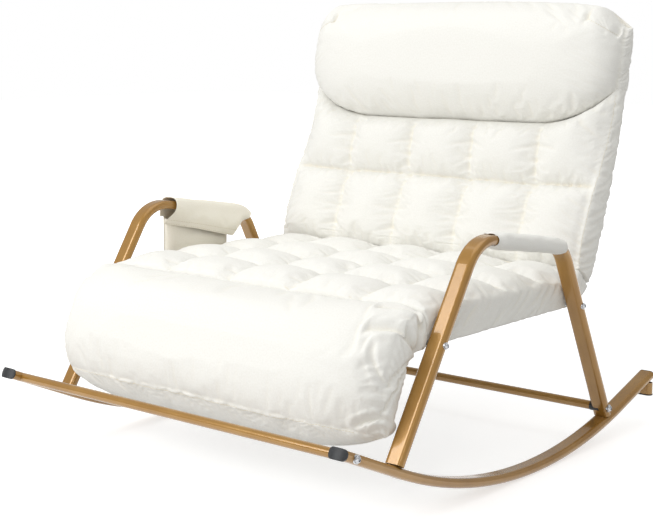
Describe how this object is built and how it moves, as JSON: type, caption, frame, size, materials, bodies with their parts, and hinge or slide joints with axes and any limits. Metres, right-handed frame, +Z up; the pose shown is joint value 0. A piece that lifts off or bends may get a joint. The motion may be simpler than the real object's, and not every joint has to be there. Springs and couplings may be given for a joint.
{
  "type": "rocking chair",
  "caption": "Low wide rocking chair: bronze tube bow rockers with looped arms, and a thick tufted seat and back cushion with a head bolster and a drooping front bolster",
  "frame": {"origin": "On the floor under the middle of the chair's overall box, at rest on its rockers", "axes": "+Z up, -Y towards the front of the seat, +X towards the left hand of someone sitting in it"},
  "size_m": [0.9771, 1.1672, 0.9873],
  "materials": {
    "bronze_tube": "semi-gloss golden brown powder coat",
    "black_plastic": "matt black moulded plastic",
    "steel": "zinc plated steel",
    "webbing": "tightly woven sling cloth",
    "cream_fabric": "cream cotton canvas cover over soft filling"
  },
  "bodies": {
    "root": {"left_rocker": "bronze_tube", "right_rocker": "bronze_tube", "left_arm_loop": "bronze_tube", "right_arm_loop": "bronze_tube", "front_crossbar": "bronze_tube", "rear_crossbar": "bronze_tube", "rear_crossbar_caps": "black_plastic", "crossbar_nuts": "steel", "crossbar_bolts": "steel", "crossbar_washers": "steel", "front_end_caps": "black_plastic", "rear_end_caps": "black_plastic", "rear_stub_feet": "bronze_tube", "stub_foot_caps": "black_plastic", "seat_frame": "bronze_tube", "back_frame": "bronze_tube", "seat_cross_tube": "bronze_tube", "back_cross_tube": "bronze_tube", "frame_joiners": "steel", "joiner_screws": "steel", "seat_bolts": "steel", "seat_washers": "steel", "seat_spacers": "steel", "rail_inserts": "steel", "seat_sling": "webbing", "back_sling": "webbing", "seat_cushion": "cream_fabric", "back_cushion": "cream_fabric", "head_bolster": "cream_fabric", "front_bolster": "cream_fabric", "rear_panel": "cream_fabric", "left_arm_sleeve": "cream_fabric", "right_arm_sleeve": "cream_fabric", "side_pocket": "cream_fabric"}
  },
  "joints": []
}
